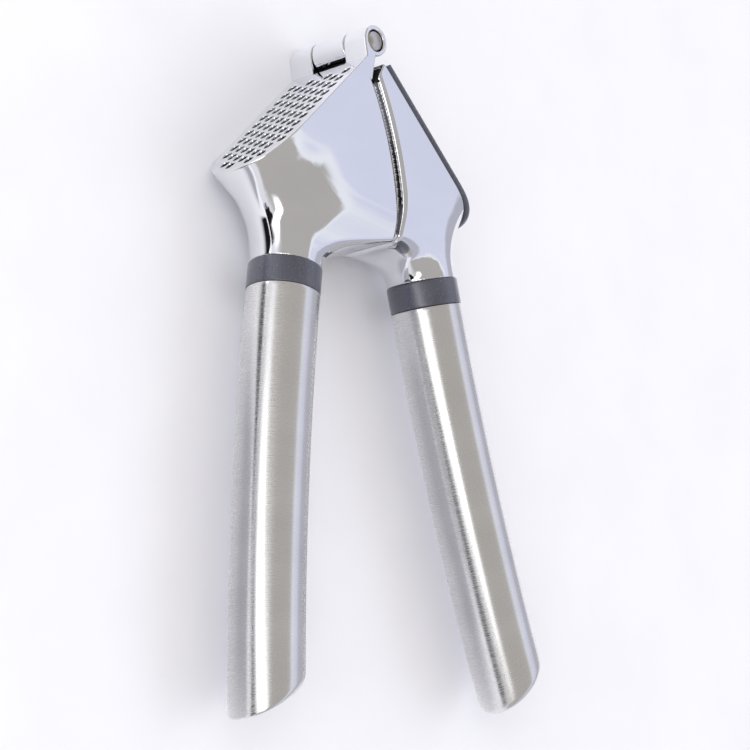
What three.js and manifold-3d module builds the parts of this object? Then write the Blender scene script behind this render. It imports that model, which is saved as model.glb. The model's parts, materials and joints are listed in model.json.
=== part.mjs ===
// Garlic press: two cast arms on one hinge pin, with tubular handles.
//
// Everything is drawn in the hinge frame, in millimetres: the hinge axis is Z and the middle of
// the press is z = 0. "Along" (x) runs down the sieve plate, away from the hinge, and "deep" (y)
// runs from the sieve plate into the chamber, towards the press arm. The press is drawn closed.
// The finished group is turned so that +X runs from the hinge to the handle ends.

import * as THREE from 'three';
import { mergeVertices } from 'three/addons/utils/BufferGeometryUtils.js';
import Module from 'manifold-3d';

const wasm = await Module();
wasm.setup();

// ---- Driving dimensions ---------------------------------------------------------------------

const GAP = 0.3;                    // clearance between pieces that touch
const HEAD_HALF_WIDTH = 14.5;       // middle of the press to the outside of a cheek
const WALL = 2.2;                   // cheek thickness
const LIP_HALF_WIDTH = 13.2;        // the mating lips are set back from the cheeks
const LIP_HEIGHT = 1.7;             // how far a lip stands out of its cheek
const FRONT_WALL = 2.6;             // behind the press arm's lips

const PLATE_FACE = 1.1;             // hinge axis to the outside of the sieve plate
const PLATE_THICKNESS = 2.0;
const PLATE_INSIDE = PLATE_FACE + PLATE_THICKNESS;
const PLATE_END = 59.9;             // hinge axis to the tip of the sieve plate
const NOSE_SHOULDER = 42;           // hinge axis to where the rounded noses of the head begin

const HOLE_PITCH = 3.95;
const HOLE_RADIUS = 1.45;
const HOLE_MIDDLE = 38;             // hinge axis to the hole that the pattern is counted from
const HOLE_ROWS = { 0: [-6, 4], 1: [-6.5, 4.5], 2: [-6, 4], 3: [-6.5, 2.5] };

const BARREL_RADIUS = 4.4;
const KNUCKLE_HALF_LENGTH = 6.0;    // centre knuckle, on the press arm
const PIN_RADIUS = 2.8;
const PIN_RECESS = 0.3;             // pin end below the outer knuckle's end
const PIN_DOME = 0.28;
const PIN_CHAMFER = 0.4;
const BASKET_HINGE_RELIEF = 2.4;    // clearance that each casting leaves around the barrel
const PRESS_HINGE_RELIEF = 1.2;

const PARTING_START = [8.0, 6.9];   // ends of the curved line where the two arms meet
const PARTING_END = [30.6, 43.7];
const PARTING_RISE = 2.6;           // how far that line bows towards the press arm

const CHAMBER_NEAR_RADIUS = 10.3;   // about the hinge axis
const CHAMBER_FAR_RADIUS = 53.9;
const PLUNGER_NEAR_RADIUS = 10.8;
const PLUNGER_FAR_RADIUS = 53.3;
const PLUNGER_FACE = PLATE_INSIDE + 0.8;
const PLUNGER_FOOT = 4.5;
const PLUNGER_WEB_HALF = 4.6;
const PLUNGER_HALF_WIDTH = 11.8;
const HOLLOW_HALF_WIDTH = HEAD_HALF_WIDTH - WALL - 0.6;

const CLEANER_FACE = -0.6;          // outside of the cleaner, beside the hinge axis
const CLEANER_THICKNESS = 2.05;
const CLEANER_START = 7.8;
const CLEANER_END = 61;
const CLEANER_PIN_LENGTH = 3.6;
const CLEANER_PIN_BASE = 1.1;
const CLEANER_PIN_TIP = 0.6;
const CLIP_FACES = [9.8, 11];       // middle of the press to either side of a cleaner clip
const PRESS_BACK = CLEANER_FACE + CLEANER_THICKNESS + GAP;

const TUBE_RADIUS = 10;
const TUBE_WALL = 0.8;
const FILLING_RADIUS = TUBE_RADIUS - TUBE_WALL - 0.4;
const HANDLE_BEND = 900;            // radius that each handle is bent to
const NECK_HALF_DEPTH = 9.6;        // of each casting where it meets its collar
const NECK_HALF_WIDTH = 9.5;
const COLLAR_LENGTH = 7.3;
const SPIGOT_LENGTH = 5.7;
const TANG_ROOT_RADIUS = 6;
const TANG = [7, 9];                // across and in the plane of the handles
const TANG_END = 47.7;
const CORE_END = 52;
const TAIL_TILT = THREE.MathUtils.degToRad(31);
const CAP_THICKNESS = 1.6;
const CAP_SPIGOT = 4;

const SCREW_RADIUS = 1.7;
const SCREW_HOLE_RADIUS = 2.05;
const SCREW_HEAD_RADIUS = 3.5;
const SCREW_HEAD_HEIGHT = 2.4;
const SCREW_SOCKET_DEPTH = 1.4;
const WASHER_RADIUS = 5;
const WASHER_THICKNESS = 1;
const TANG_THREAD = 9.5;            // length of screw in a tang
const PLUNGER_SCREW_REACH = 8;      // below the seat of a plunger screw
const PLUNGER_HOLE_DEPTH = 8.5;

const HANDLE_LENGTH = 116.1;        // along the axis, to the middle of the slanted tail
const BASKET_HANDLE = { start: [61.8, 31.2], heading: 37.2 };
const PRESS_HANDLE = { start: [19.4, 65.6], heading: 58.4 };
const HANDLES_DIRECTION = 51;       // degrees from "along" to the line midway between the handles

// ---- Materials ------------------------------------------------------------------------------

function finish(color, metalness, roughness) {
  return new THREE.MeshStandardMaterial({ color, metalness, roughness });
}

const chrome = finish(0xd8dae2, 1, 0.08);
const brushedSteel = finish(0xb4b2b0, 1, 0.35);
const bareSteel = finish(0xc4c2bc, 1, 0.25);
const greyPlastic = finish(0x5c5e6c, 0, 0.5);
const corePlastic = finish(0x3a3a3e, 0, 0.7);

// ---- Solids and meshes ----------------------------------------------------------------------

function solid(geometry) {
  const bare = geometry.clone();
  bare.deleteAttribute('normal');
  bare.deleteAttribute('uv');
  const merged = mergeVertices(bare, 1e-4);
  const corners = [];
  const index = merged.index.array;
  for (let i = 0; i < index.length; i += 3) {
    const [a, b, c] = [index[i], index[i + 1], index[i + 2]];
    if (a !== b && b !== c && c !== a) corners.push(a, b, c);
  }
  const mesh = new wasm.Mesh({
    numProp: 3,
    vertProperties: new Float32Array(merged.attributes.position.array),
    triVerts: new Uint32Array(corners),
  });
  return new wasm.Manifold(mesh);
}

function join(...solids) {
  return solids.reduce((whole, piece) => whole.add(piece));
}

function part(name, shape, material) {
  const { vertProperties, triVerts } = shape.getMesh();
  const geometry = new THREE.BufferGeometry();
  geometry.setAttribute('position', new THREE.BufferAttribute(vertProperties, 3));
  geometry.setIndex(new THREE.BufferAttribute(triVerts, 1));
  geometry.computeVertexNormals();
  const mesh = new THREE.Mesh(geometry, material);
  mesh.name = name;
  return mesh;
}

function outline(points) {
  return new THREE.Shape(points.map(([x, y]) => new THREE.Vector2(x, y)));
}

const CURVE_SEGMENTS = 10;
const BEYOND = 30;                  // reach of a cutting bar on either side of the middle

function extruded(shape, depth) {
  return new THREE.ExtrudeGeometry(shape, { depth, bevelEnabled: false, curveSegments: CURVE_SEGMENTS });
}

// A side outline (along, deep), as thick as the press is between -half and +half.
function slab(shape, half) {
  return solid(extruded(shape, 2 * half).translate(0, 0, -half));
}

// A plan outline (along, across), standing between two depths.
function plan(shape, from, to) {
  return solid(extruded(shape, to - from).rotateX(Math.PI / 2).translate(0, to, 0));
}

// A back outline (deep, across), standing between two values of "along".
function backPlan(shape, from, to) {
  const turn = new THREE.Matrix4().makeBasis(
    new THREE.Vector3(0, 1, 0), new THREE.Vector3(0, 0, 1), new THREE.Vector3(1, 0, 0));
  return solid(extruded(shape, to - from).applyMatrix4(turn).translate(from, 0, 0));
}

// A round bar across the press, parallel to the hinge axis.
function bar([x, y], radius, from, to, sides = 32) {
  const geometry = new THREE.CylinderGeometry(radius, radius, to - from, sides);
  return solid(geometry.rotateX(Math.PI / 2).translate(x, y, (from + to) / 2));
}

function hingeBar(radius, sides) {
  return bar([0, 0], radius, -BEYOND, BEYOND, sides);
}

// A round peg from one point towards a direction in the plane of the handles.
function peg([x, y, z], degrees, length, startRadius, endRadius, sides) {
  const geometry = new THREE.CylinderGeometry(endRadius, startRadius, length, sides);
  geometry.translate(0, length / 2, 0).rotateZ(THREE.MathUtils.degToRad(degrees - 90));
  return solid(geometry.translate(x, y, z));
}

// A closed skin over rings that all have the same number of points.
function skin(rings) {
  const count = rings[0].length;
  const corners = [];
  for (let ring = 0; ring + 1 < rings.length; ring += 1) {
    for (let i = 0; i < count; i += 1) {
      const a = ring * count + i;
      const b = ring * count + (i + 1) % count;
      corners.push(a, b, a + count, b, b + count, a + count);
    }
  }
  const last = (rings.length - 1) * count;
  for (let i = 1; i + 1 < count; i += 1) {
    corners.push(0, i + 1, i, last, last + i, last + i + 1);
  }
  const geometry = new THREE.BufferGeometry().setFromPoints(rings.flat());
  geometry.setIndex(corners);
  return solid(geometry);
}

// The skin, with its faces pointing out whichever way round the rings run.
function loft(rings) {
  const body = skin(rings);
  return body.volume() > 0 ? body : skin([...rings].reverse());
}

// ---- The line where the two arms meet -------------------------------------------------------

function partingCircle() {
  const [start, end] = [new THREE.Vector2(...PARTING_START), new THREE.Vector2(...PARTING_END)];
  const chord = end.clone().sub(start);
  const half = chord.length() / 2;
  const radius = (half * half + PARTING_RISE * PARTING_RISE) / (2 * PARTING_RISE);
  const towardsBasket = new THREE.Vector2(chord.y, -chord.x).normalize();
  const centre = start.clone().add(end).multiplyScalar(0.5);
  centre.addScaledVector(towardsBasket, radius - PARTING_RISE);
  return { centre: [centre.x, centre.y], radius };
}

const PARTING = partingCircle();

// The basket's side of the meeting line, with an offset towards the press arm.
function basketSide(offset) {
  return bar(PARTING.centre, PARTING.radius + offset, -BEYOND, BEYOND, 180);
}

// ---- Necks: from the wide head to the round collar ------------------------------------------

function handlePoint(handle, distance, side = 0) {
  const heading = THREE.MathUtils.degToRad(handle.heading);
  const turn = heading + distance / HANDLE_BEND;
  const [x, y] = handle.start;
  return [
    x + HANDLE_BEND * (Math.sin(turn) - Math.sin(heading)) - side * Math.sin(turn),
    y + HANDLE_BEND * (Math.cos(heading) - Math.cos(turn)) + side * Math.cos(turn),
  ];
}

function rounded(angle, power) {
  const value = Math.sin(angle);
  return Math.sign(value) * Math.abs(value) ** (2 / power);
}

// One cross-section between an outer and an inner edge point. Its corners are squarer at the
// inner edge, where the cheeks run flat to the end, than at the outer edge.
function neckRing(outer, inner, halfWidth, outerPower, innerPower, sides = 36) {
  const ring = [];
  for (let i = 0; i < sides; i += 1) {
    const angle = (2 * Math.PI * i) / sides;
    const power = Math.cos(angle) > 0 ? outerPower : innerPower;
    const along = rounded(angle + Math.PI / 2, power) / 2;
    const x = (outer.x + inner.x) / 2 + (outer.x - inner.x) * along;
    const y = (outer.y + inner.y) / 2 + (outer.y - inner.y) * along;
    ring.push(new THREE.Vector3(x, y, halfWidth * rounded(angle, power)));
  }
  return ring;
}

const NECK_TAPER = 1.2;             // the neck is down to the collar's size before its end
const NECK_STEPS = 8;
const OUTER_POWER = 3;              // squareness of the head's section, where 2 is round
const INNER_POWER = 8;

function neck(outerEdge, innerEdge) {
  const rings = [];
  for (let i = 0; i <= NECK_STEPS; i += 1) {
    const t = i / NECK_STEPS;
    const ease = THREE.MathUtils.smoothstep(t * NECK_TAPER, 0, 1);
    const halfWidth = THREE.MathUtils.lerp(HEAD_HALF_WIDTH, NECK_HALF_WIDTH, ease);
    const outerPower = THREE.MathUtils.lerp(OUTER_POWER, 2, ease);
    const innerPower = THREE.MathUtils.lerp(INNER_POWER, 2, ease);
    rings.push(neckRing(outerEdge.getPoint(t), innerEdge.getPoint(t), halfWidth, outerPower, innerPower));
  }
  return loft(rings);
}

function edge(...points) {
  return new THREE.CubicBezierCurve(...points.map(([x, y]) => new THREE.Vector2(x, y)));
}

// ---- Handle pieces, swept along the bent axis -----------------------------------------------

class HandleAxis extends THREE.Curve {
  constructor(handle, from, to) {
    super();
    Object.assign(this, { handle, from, to });
  }

  getPoint(t, target = new THREE.Vector3()) {
    const [x, y] = handlePoint(this.handle, THREE.MathUtils.lerp(this.from, this.to, t));
    return target.set(x, y, 0);
  }
}

function circle(radius) {
  return new THREE.Shape().absarc(0, 0, radius, 0, 2 * Math.PI);
}

function rectangle([across, deep]) {
  const [a, d] = [across / 2, deep / 2];
  return outline([[-a, -d], [a, -d], [a, d], [-a, d]]);
}

function sweep(handle, section, from, to, curveSegments = CURVE_SEGMENTS) {
  const extrudePath = new HandleAxis(handle, from, to);
  const steps = Math.max(1, Math.round((to - from) / 20));
  return solid(new THREE.ExtrudeGeometry(section, { extrudePath, steps, curveSegments }));
}

function rod(handle, radius, from, to, curveSegments = CURVE_SEGMENTS) {
  return sweep(handle, circle(radius), from, to, curveSegments);
}

// Everything beyond the slanted tail plane, moved back along its normal by "inset".
function beyondTail(handle, inset) {
  const heading = THREE.MathUtils.degToRad(handle.heading) + HANDLE_LENGTH / HANDLE_BEND;
  const size = 80;
  const box = new THREE.BoxGeometry(size, size, size).translate(size / 2 - inset, 0, 0);
  const [x, y] = handlePoint(handle, HANDLE_LENGTH);
  return solid(box.rotateZ(heading + TAIL_TILT).translate(x, y, 0));
}

const TAIL_ALLOWANCE = 12;

function handleTube(handle) {
  const end = HANDLE_LENGTH + TAIL_ALLOWANCE;
  const outside = rod(handle, TUBE_RADIUS, COLLAR_LENGTH + GAP, end);
  const inside = rod(handle, TUBE_RADIUS - TUBE_WALL, COLLAR_LENGTH - 1, end + 1);
  return outside.subtract(inside).subtract(beyondTail(handle, CAP_THICKNESS + GAP));
}

function tailCap(handle) {
  const end = HANDLE_LENGTH + TAIL_ALLOWANCE;
  const start = HANDLE_LENGTH - 2 * TAIL_ALLOWANCE;
  const face = rod(handle, TUBE_RADIUS, start, end).intersect(beyondTail(handle, CAP_THICKNESS));
  const spigot = rod(handle, FILLING_RADIUS, start, end)
    .intersect(beyondTail(handle, CAP_THICKNESS + CAP_SPIGOT));
  return face.add(spigot).subtract(beyondTail(handle, 0));
}

function collar(handle) {
  const ring = rod(handle, TUBE_RADIUS, GAP, COLLAR_LENGTH);
  const spigot = rod(handle, FILLING_RADIUS, COLLAR_LENGTH - 1, COLLAR_LENGTH + SPIGOT_LENGTH);
  const bore = rod(handle, TANG_ROOT_RADIUS + GAP, -1, COLLAR_LENGTH + SPIGOT_LENGTH + 1);
  return ring.add(spigot).subtract(bore);
}

const ROUND_SCREW = 6;              // curve segments of a screw's quarter turn
const SOCKET_CORNERS = 2;

function screwHole(handle, from, to) {
  return rod(handle, SCREW_HOLE_RADIUS, from, to, ROUND_SCREW);
}

function core(handle) {
  const start = COLLAR_LENGTH + SPIGOT_LENGTH + GAP;
  const socket = [TANG[0] + 2 * GAP, TANG[1] + 2 * GAP];
  return rod(handle, FILLING_RADIUS, start, CORE_END)
    .subtract(sweep(handle, rectangle(socket), start - 1, TANG_END + GAP))
    .subtract(screwHole(handle, TANG_END, CORE_END + 1));
}

function tang(handle) {
  const root = rod(handle, TANG_ROOT_RADIUS, -6, COLLAR_LENGTH + SPIGOT_LENGTH);
  const blade = sweep(handle, rectangle(TANG), COLLAR_LENGTH, TANG_END);
  return root.add(blade).subtract(screwHole(handle, TANG_END - TANG_THREAD - 0.5, TANG_END + 1));
}

function tangWasher(handle) {
  const start = CORE_END + GAP;
  return rod(handle, WASHER_RADIUS, start, start + WASHER_THICKNESS)
    .subtract(screwHole(handle, start - 1, start + WASHER_THICKNESS + 1));
}

function tangScrew(handle) {
  const under = CORE_END + GAP + WASHER_THICKNESS + GAP;
  const top = under + SCREW_HEAD_HEIGHT;
  return rod(handle, SCREW_RADIUS, TANG_END - TANG_THREAD, under + 1, ROUND_SCREW)
    .add(rod(handle, SCREW_HEAD_RADIUS, under, top, ROUND_SCREW))
    .subtract(rod(handle, SCREW_RADIUS, top - SCREW_SOCKET_DEPTH, top + 1, SOCKET_CORNERS));
}

// ---- Hole pattern, shared by the sieve plate and the cleaner --------------------------------

function holeCentres() {
  const centres = [];
  for (const [column, [first, last]] of Object.entries(HOLE_ROWS)) {
    const sides = column === '0' ? [1] : [-1, 1];
    for (const side of sides) {
      for (let row = first; row <= last; row += 1) {
        const across = side * Number(column) * HOLE_PITCH * Math.sqrt(3) / 2;
        centres.push([HOLE_MIDDLE + row * HOLE_PITCH, across]);
      }
    }
  }
  return centres;
}

// ---- Head: basket arm -----------------------------------------------------------------------

// Plan of a long plate with a rounded nose, from "start" to "end".
function nosePlan(start, shoulder, end, half) {
  const bluntness = end - 0.3 * (end - shoulder);
  const shape = new THREE.Shape();
  shape.moveTo(start, -half);
  shape.lineTo(shoulder, -half);
  shape.bezierCurveTo(bluntness, -half, end, -0.65 * half, end, 0);
  shape.bezierCurveTo(end, 0.65 * half, bluntness, half, shoulder, half);
  shape.lineTo(start, half);
  return shape;
}

const BASKET_OUTER_EDGE = edge(
  [PLATE_END, 2.6], [57.4, 12.5], [60.8, 18.2], handlePoint(BASKET_HANDLE, 0, -NECK_HALF_DEPTH));
const BASKET_INNER_EDGE = edge(
  [31.5, 46], [42, 38.8], [49.5, 34.8], handlePoint(BASKET_HANDLE, 0, NECK_HALF_DEPTH));

function basketShell() {
  const head = outline([[3, PLATE_FACE], [PLATE_END, PLATE_FACE], [PLATE_END, 2.6], [31.7, 46.2],
    [22, 52], [-2, 10]]);
  const nose = plan(nosePlan(-10, NOSE_SHOULDER, PLATE_END, HEAD_HALF_WIDTH), -5, 60);
  const cheeks = slab(head, HEAD_HALF_WIDTH).intersect(nose).intersect(basketSide(-LIP_HEIGHT));
  const lips = slab(head, LIP_HALF_WIDTH).intersect(nose).intersect(basketSide(-GAP / 2));
  return join(cheeks, lips).subtract(hingeBar(BARREL_RADIUS + BASKET_HINGE_RELIEF));
}

function chamber() {
  const side = new THREE.Shape();
  side.moveTo(4, PLATE_INSIDE);
  side.lineTo(58.2, PLATE_INSIDE);
  side.lineTo(57.6, 12);
  side.quadraticCurveTo(54, 20, 45.5, 28.9);
  side.absarc(0, 0, CHAMBER_FAR_RADIUS, 0.5658, 1.12);
  side.lineTo(10, 60);
  side.lineTo(-20, 20);
  const inside = plan(nosePlan(-30, NOSE_SHOULDER + 1, 58.2, HEAD_HALF_WIDTH - WALL), -5, 70);
  return slab(side, HEAD_HALF_WIDTH - WALL).intersect(inside)
    .subtract(hingeBar(CHAMBER_NEAR_RADIUS, 48));
}

// The two outer knuckles, each carried on a short bridge from the sieve plate's ledge.
function basketKnuckles() {
  const inner = KNUCKLE_HALF_LENGTH + GAP;
  const bridge = outline([[0, -2], [3.55, -2.59], [6.3, PLATE_FACE], [10.2, PLATE_FACE],
    [10.2, 5], [9.4, 7.2], [8.6, 6.6], [3.2, 3.05], [0, 2]]);
  const barrel = bar([0, 0], BARREL_RADIUS, -HEAD_HALF_WIDTH, HEAD_HALF_WIDTH);
  const between = outline([[-8, -8], [6.9, -8], [6.9, 8], [-8, 8]]);
  return join(slab(bridge, HEAD_HALF_WIDTH), barrel).subtract(slab(between, inner));
}

function sieveHoles() {
  const drills = holeCentres().map(([along, across]) =>
    peg([along, PLATE_FACE - 1, across], 90, PLATE_THICKNESS + 1.5, HOLE_RADIUS, HOLE_RADIUS, 10));
  return wasm.Manifold.union(drills);
}

function basketArm() {
  const flare = neck(BASKET_OUTER_EDGE, BASKET_INNER_EDGE).intersect(basketSide(-GAP / 2));
  return join(basketShell(), flare, basketKnuckles(), tang(BASKET_HANDLE))
    .subtract(chamber())
    .subtract(sieveHoles())
    .subtract(hingeBar(PIN_RADIUS + GAP));
}

// ---- Head: press arm ------------------------------------------------------------------------

const PRESS_OUTER_EDGE = edge(
  [PRESS_BACK + 0.6, 60.2], [5, 61.8], [8.6, 64.6], handlePoint(PRESS_HANDLE, 0, NECK_HALF_DEPTH));
const PRESS_INNER_EDGE = edge(
  [31.3, 46.2], [26.6, 49.8], [25, 56], handlePoint(PRESS_HANDLE, 0, -NECK_HALF_DEPTH));

function pressShell() {
  const head = outline([[PRESS_BACK, 6.2], [5.2, 7.4], [9, 9], [40, 30], [31.4, 46.3], [PRESS_BACK, 60.7]]);
  const nose = backPlan(nosePlan(-10, NOSE_SHOULDER, CLEANER_END, HEAD_HALF_WIDTH), -20, 60);
  const cheeks = slab(head, HEAD_HALF_WIDTH).intersect(nose).subtract(basketSide(LIP_HEIGHT));
  const lips = slab(head, LIP_HALF_WIDTH).intersect(nose).subtract(basketSide(GAP / 2));
  return join(cheeks, lips).subtract(hingeBar(BARREL_RADIUS + PRESS_HINGE_RELIEF));
}

function pressKnuckle() {
  const web = outline([[-3, 3.2], [PRESS_BACK, 8], [PRESS_BACK, 15], [11.5, 15],
    [6.6, 5.4], [3.2, 3], [0, 2]]);
  return join(bar([0, 0], BARREL_RADIUS, -KNUCKLE_HALF_LENGTH, KNUCKLE_HALF_LENGTH),
    slab(web, KNUCKLE_HALF_LENGTH).subtract(basketSide(GAP / 2)));
}

// The hollow behind the front wall, open at the back, where the cleaner closes it.
function pressHollow() {
  const hollow = outline([[-10, 14], [30, 14], [30, 46], [20, 50], [-10, 50]]);
  return slab(hollow, HOLLOW_HALF_WIDTH).subtract(basketSide(GAP / 2 + FRONT_WALL));
}

const SCREW_SPOTS = [154, 142];     // degrees around the meeting line's centre
const SCREW_SEAT = GAP / 2 + FRONT_WALL + GAP;

function partingPoint(degrees, offset) {
  const angle = THREE.MathUtils.degToRad(degrees);
  const reach = PARTING.radius + offset;
  return [PARTING.centre[0] + reach * Math.cos(angle), PARTING.centre[1] + reach * Math.sin(angle), 0];
}

// A round piece on a screw's axis, from one offset down to another.
function screwPiece(degrees, radius, from, to, sides = 24) {
  return peg(partingPoint(degrees, from), degrees + 180, from - to, radius, radius, sides);
}

function plungerScrewHoles() {
  return join(...SCREW_SPOTS.map((degrees) =>
    screwPiece(degrees, SCREW_HOLE_RADIUS, SCREW_SEAT + SCREW_HEAD_HEIGHT, -PLUNGER_HOLE_DEPTH)));
}

function pressArm() {
  const flare = neck(PRESS_OUTER_EDGE, PRESS_INNER_EDGE).subtract(basketSide(GAP / 2));
  return join(pressShell(), flare, pressKnuckle(), tang(PRESS_HANDLE))
    .subtract(pressHollow())
    .subtract(plungerScrewHoles())
    .subtract(hingeBar(PIN_RADIUS + GAP));
}

function plungerScrew(degrees) {
  const top = SCREW_SEAT + SCREW_HEAD_HEIGHT;
  const head = screwPiece(degrees, SCREW_HEAD_RADIUS, top, SCREW_SEAT);
  const shank = screwPiece(degrees, SCREW_RADIUS, SCREW_SEAT + 1, SCREW_SEAT - PLUNGER_SCREW_REACH);
  const socket = screwPiece(degrees, SCREW_RADIUS, top + 1, top - SCREW_SOCKET_DEPTH, 6);
  return head.add(shank).subtract(socket);
}

function plunger() {
  const top = PLUNGER_FACE + PLUNGER_FOOT;
  const foot = outline([[5, PLUNGER_FACE], [60, PLUNGER_FACE], [60, top], [5, top]]);
  const web = outline([[13, top - 1], [47, top - 1], [42, 20], [31, 38], [26, 44], [4, 14]]);
  const reach = hingeBar(PLUNGER_FAR_RADIUS, 96);
  const toe = plan(nosePlan(-10, NOSE_SHOULDER, PLUNGER_FAR_RADIUS, PLUNGER_HALF_WIDTH), -5, 60);
  return slab(foot, PLUNGER_HALF_WIDTH).intersect(toe)
    .add(slab(web, PLUNGER_WEB_HALF))
    .intersect(basketSide(-GAP))
    .intersect(reach)
    .subtract(hingeBar(PLUNGER_NEAR_RADIUS, 48))
    .subtract(plungerScrewHoles());
}

function cleanerPlate() {
  const inside = CLEANER_FACE + CLEANER_THICKNESS;
  const shape = nosePlan(CLEANER_START, NOSE_SHOULDER, CLEANER_END, HEAD_HALF_WIDTH);
  const root = 0.4;
  const pins = holeCentres().map(([along, across]) => peg([CLEANER_FACE + root, along, across],
    180, CLEANER_PIN_LENGTH + root, CLEANER_PIN_BASE, CLEANER_PIN_TIP, 6));
  const clip = outline([[inside - 0.5, 22], [inside + 4, 24], [inside + 4, 38], [inside - 0.5, 40]]);
  const clips = slab(clip, CLIP_FACES[1]).subtract(slab(clip, CLIP_FACES[0]));
  return backPlan(shape, CLEANER_FACE, inside).add(wasm.Manifold.union(pins)).add(clips);
}

// ---- Hinge pin ------------------------------------------------------------------------------

function hingePin() {
  const half = HEAD_HALF_WIDTH - PIN_RECESS;
  const end = [[0, half + PIN_DOME], [1.6, half + 0.7 * PIN_DOME], [PIN_RADIUS - PIN_CHAMFER, half],
    [PIN_RADIUS, half - PIN_CHAMFER]];
  const profile = [...end.map(([r, z]) => [r, -z]), ...end.reverse()];
  const geometry = new THREE.LatheGeometry(profile.map(([r, z]) => new THREE.Vector2(r, z)), 32);
  return solid(geometry.rotateX(Math.PI / 2));
}

// ---- Assembly -------------------------------------------------------------------------------

function handleParts(prefix, handle) {
  return [
    part(`${prefix}_collar`, collar(handle), greyPlastic),
    part(`${prefix}_core`, core(handle), corePlastic),
    part(`${prefix}_tang_washer`, tangWasher(handle), bareSteel),
    part(`${prefix}_tang_screw`, tangScrew(handle), bareSteel),
    part(`${prefix}_tube`, handleTube(handle), brushedSteel),
    part(`${prefix}_tail_cap`, tailCap(handle), brushedSteel),
  ];
}

const inHingeFrame = new THREE.Group();
inHingeFrame.add(
  part('basket_arm', basketArm(), chrome),
  part('hinge_pin', hingePin(), bareSteel),
  ...handleParts('basket', BASKET_HANDLE),
  part('press_arm', pressArm(), chrome),
  part('plunger', plunger(), chrome),
  part('plunger_screw_upper', plungerScrew(SCREW_SPOTS[0]), bareSteel),
  part('plunger_screw_lower', plungerScrew(SCREW_SPOTS[1]), bareSteel),
  part('cleaner_plate', cleanerPlate(), greyPlastic),
  ...handleParts('press', PRESS_HANDLE),
);
inHingeFrame.rotation.z = -THREE.MathUtils.degToRad(HANDLES_DIRECTION);

// The origin is the middle of the underside of the whole press, lying on one cheek.
const press = new THREE.Group();
press.add(inHingeFrame);
press.updateMatrixWorld(true);
const box = new THREE.Box3().setFromObject(press, true);
const middle = box.getCenter(new THREE.Vector3());
inHingeFrame.position.set(-middle.x, -middle.y, -box.min.z);

export default press;
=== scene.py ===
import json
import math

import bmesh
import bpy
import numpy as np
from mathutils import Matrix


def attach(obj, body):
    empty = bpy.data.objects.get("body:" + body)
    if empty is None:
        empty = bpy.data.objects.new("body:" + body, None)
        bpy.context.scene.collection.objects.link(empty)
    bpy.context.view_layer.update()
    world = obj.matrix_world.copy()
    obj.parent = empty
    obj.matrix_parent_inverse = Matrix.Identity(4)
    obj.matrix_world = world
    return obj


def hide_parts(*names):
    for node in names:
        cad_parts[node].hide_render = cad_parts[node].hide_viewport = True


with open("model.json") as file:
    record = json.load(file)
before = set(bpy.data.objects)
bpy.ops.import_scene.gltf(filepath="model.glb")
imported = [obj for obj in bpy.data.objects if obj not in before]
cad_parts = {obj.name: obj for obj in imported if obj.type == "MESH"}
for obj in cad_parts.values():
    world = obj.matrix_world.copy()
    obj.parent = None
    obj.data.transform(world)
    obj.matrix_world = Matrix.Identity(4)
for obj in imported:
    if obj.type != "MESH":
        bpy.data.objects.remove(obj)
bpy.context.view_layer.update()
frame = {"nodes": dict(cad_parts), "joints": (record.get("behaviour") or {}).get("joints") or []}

# Garlic press: two chromed castings on one hinge pin, with brushed tubular handles.
#
# Shapes are worked out in the hinge frame, in millimetres: x runs down the sieve plate away from
# the hinge, y runs from the sieve plate into the chamber, and z runs along the hinge pin. The
# castings are signed distances on a grid, turned into meshes whose points lie on the surface.

import openvdb
from mathutils import Matrix, Vector

# ---- From the hinge frame to the row frame --------------------------------------------------

HINGE = next(j for j in frame["joints"] if j["name"] == "press_hinge")
HANDLES_DIRECTION = 51
TO_ROW = (
    Matrix.Translation(HINGE["pos_m"])
    @ Matrix.Rotation(math.radians(-HANDLES_DIRECTION), 4, "Z")
    @ Matrix.Scale(0.001, 4)
)


def row_direction(vector):
    return (TO_ROW.to_3x3() @ Vector(vector)).normalized()


# ---- Camera -----------------------------------------------------------------------------------

FOCAL_LENGTH_IN_FRAMES = 3.64
CAMERA_PLACE = (551.7, -184.0, 493.1)
CAMERA_FORWARD = (-0.6669, 0.3438, -0.6611)
CAMERA_RIGHT = (-0.4703, 0.4940, 0.7313)
SENSOR_WIDTH = 36


def add_camera():
    data = bpy.data.cameras.new("camera")
    data.sensor_width = SENSOR_WIDTH
    data.lens = FOCAL_LENGTH_IN_FRAMES * SENSOR_WIDTH
    camera = bpy.data.objects.new("camera", data)
    bpy.context.scene.collection.objects.link(camera)
    forward, right = row_direction(CAMERA_FORWARD), row_direction(CAMERA_RIGHT)
    up = right.cross(forward)
    turn = Matrix((right, up, -forward)).transposed().to_4x4()
    camera.matrix_world = Matrix.Translation(TO_ROW @ Vector(CAMERA_PLACE)) @ turn
    bpy.context.scene.camera = camera


# ---- Driving dimensions: the CAD model's, with rounder noses and necks ----------------------

GAP = 0.3
HEAD_HALF_WIDTH = 14.5
WALL = 2.2
LIP_HALF_WIDTH = 13.2
LIP_HEIGHT = 1.7
FRONT_WALL = 2.6                   # behind the press arm's lips
HOLLOW_HALF_WIDTH = HEAD_HALF_WIDTH - WALL - 0.6
PLATE_FACE = 1.1
PLATE_THICKNESS = 2.0
PLATE_INSIDE = PLATE_FACE + PLATE_THICKNESS
PLATE_END = 59.9
NOSE_DEPTH = 14.0                 # how far from its tip a nose has its full width
NOSE_POWER = 2.7
SOFT_NOSE_DEPTH = 27
SOFT_NOSE_POWER = 2.3
PLATE_NOSE_SWELL = 0.45            # the sieve plate's nose, between the two kinds

HOLE_PITCH = 3.95
HOLE_RADIUS = 1.45
HOLE_MIDDLE = 38
HOLE_ROWS = {0: (-6, 4), 1: (-6.5, 4.5), 2: (-6, 4), 3: (-6.5, 2.5)}

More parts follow.
